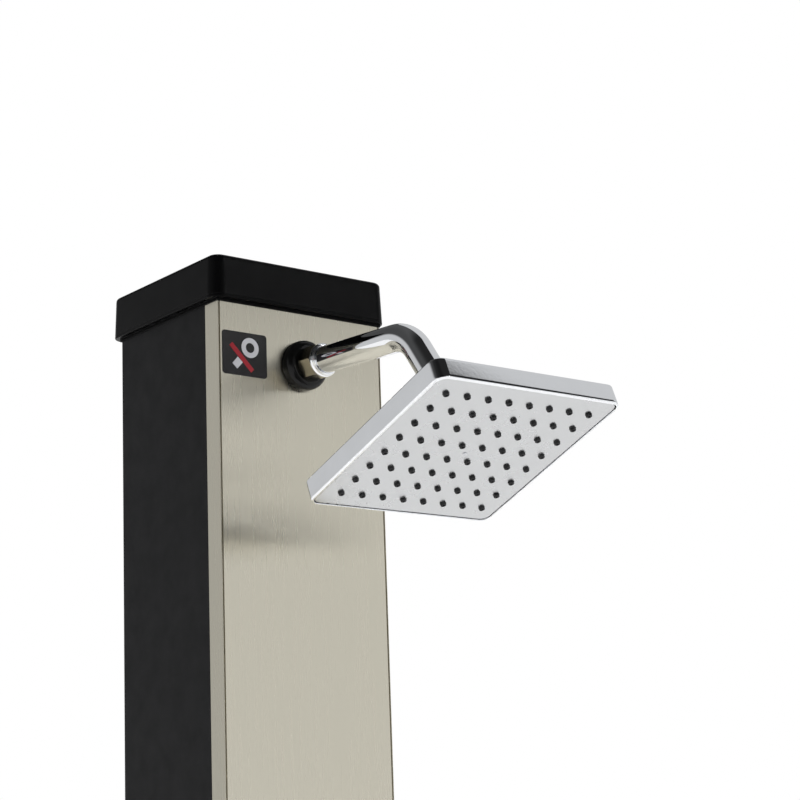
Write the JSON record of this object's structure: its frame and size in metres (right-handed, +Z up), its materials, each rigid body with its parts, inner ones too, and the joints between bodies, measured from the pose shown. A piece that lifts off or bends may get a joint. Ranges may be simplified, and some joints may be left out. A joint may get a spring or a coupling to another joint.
{
  "type": "rain shower column",
  "caption": "Free-standing rain shower column with a tank casing, a bent chrome arm, a square swivelling rain head, a lever mixer and a foot tap.",
  "frame": {"origin": "centre of the column on the floor, under the base plate", "axes": "+Z up along the column, the front panel, arm and head face -Y, +X to the right seen from behind the user"},
  "size_m": [0.21, 0.4223, 2.17],
  "materials": {
    "black_plastic": "satin moulded plastic",
    "black_casing": "satin extruded plastic",
    "brushed_panel": "vertical brushed",
    "label_black": "satin",
    "label_grey": "satin",
    "label_red": "satin",
    "black_rubber": "gloss",
    "brass": "satin",
    "dark_nickel": "satin",
    "chrome": "polished",
    "satin_chrome": "satin",
    "nozzle_rubber": "matte",
    "seal_rubber": "matte",
    "filter_grey": "matte",
    "nylon": "matte",
    "tank_plastic": "matte",
    "copper": "satin",
    "steel_plate": "satin",
    "screw_steel": "satin",
    "ceramic_white": "satin",
    "index_red": "gloss"
  },
  "bodies": {
    "column": {"top_cap": "black_plastic", "rear_shell": "black_casing", "front_panel": "brushed_panel", "left_trim": "brushed_panel", "right_trim": "brushed_panel", "trim_clips": "screw_steel", "tool_label": "label_black", "label_symbol": "label_grey", "label_bar": "label_red", "outlet_elbow": "brass", "connector_seal": "seal_rubber", "outlet_grommet": "black_rubber", "arm_connector": "dark_nickel", "arm_collar": "chrome", "arm_o_ring": "seal_rubber", "shower_arm": "chrome", "ball_connector": "chrome", "filter_washer": "filter_grey", "tank_body": "tank_plastic", "tank_lid": "tank_plastic", "tank_feet": "black_plastic", "hot_pipe": "copper", "cold_pipe": "copper", "riser_pipe": "copper", "pipe_clips": "black_plastic", "inlet_tee": "brass", "hose_inlet": "brass", "inlet_nut": "brass", "drain_plug": "brass", "base_plate": "steel_plate", "base_brackets": "steel_plate", "base_screws": "screw_steel", "foot_skirt": "black_plastic", "cap_screws": "screw_steel", "mixer_escutcheon": "chrome", "mixer_body": "chrome", "mixer_dome": "chrome", "mixer_cartridge": "ceramic_white", "foot_tap_rosette": "chrome", "foot_tap_body": "chrome", "spout_aerator": "satin_chrome"},
    "ball_seat_carrier": {"ball_seat": "nylon"},
    "friction_seat_carrier": {"friction_seat": "seal_rubber"},
    "head": {"retaining_collar": "chrome", "head_shell": "chrome", "face_plate": "satin_chrome", "nozzle_mat": "nozzle_rubber", "face_gasket": "seal_rubber", "flow_spreader": "nylon", "centre_plug": "screw_steel"},
    "mixer_rotor": {"cartridge_rotor": "brass", "stem_pin": "screw_steel"},
    "mixer_handle": {"lever_stem": "screw_steel", "mixer_lever": "chrome", "lever_screw": "screw_steel", "index_cap": "index_red"},
    "foot_tap_handle": {"tap_spindle": "brass", "foot_tap_lever": "chrome", "tap_screw": "screw_steel"}
  },
  "joints": [
    {"name": "head_tilt", "type": "hinge", "parent": "column", "child": "ball_seat_carrier", "pos_m": [0, -0.23435, 2.03724], "axis": [1, 0, 0], "range_deg": [-35, 5]},
    {"name": "head_roll", "type": "hinge", "parent": "ball_seat_carrier", "child": "friction_seat_carrier", "pos_m": [0, -0.23435, 2.03724], "axis": [0, -0.9323, 0.3616], "range_deg": [-15, 15]},
    {"name": "head_spin", "type": "hinge", "parent": "friction_seat_carrier", "child": "head", "pos_m": [0, -0.23435, 2.03724], "axis": [0, 0.3616, 0.9323], "continuous": true},
    {"name": "lever_swing", "type": "hinge", "parent": "column", "child": "mixer_rotor", "pos_m": [0, -0.1, 1.15], "axis": [0, -1, 0], "range_deg": [-50, 50]},
    {"name": "lever_lift", "type": "hinge", "parent": "mixer_rotor", "child": "mixer_handle", "pos_m": [0, -0.1, 1.15], "axis": [-1, 0, 0], "range_deg": [0, 25]},
    {"name": "foot_tap_turn", "type": "hinge", "parent": "column", "child": "foot_tap_handle", "pos_m": [0, -0.104, 0.33], "axis": [0, 1, 0], "range_deg": [0, 90]}
  ]
}
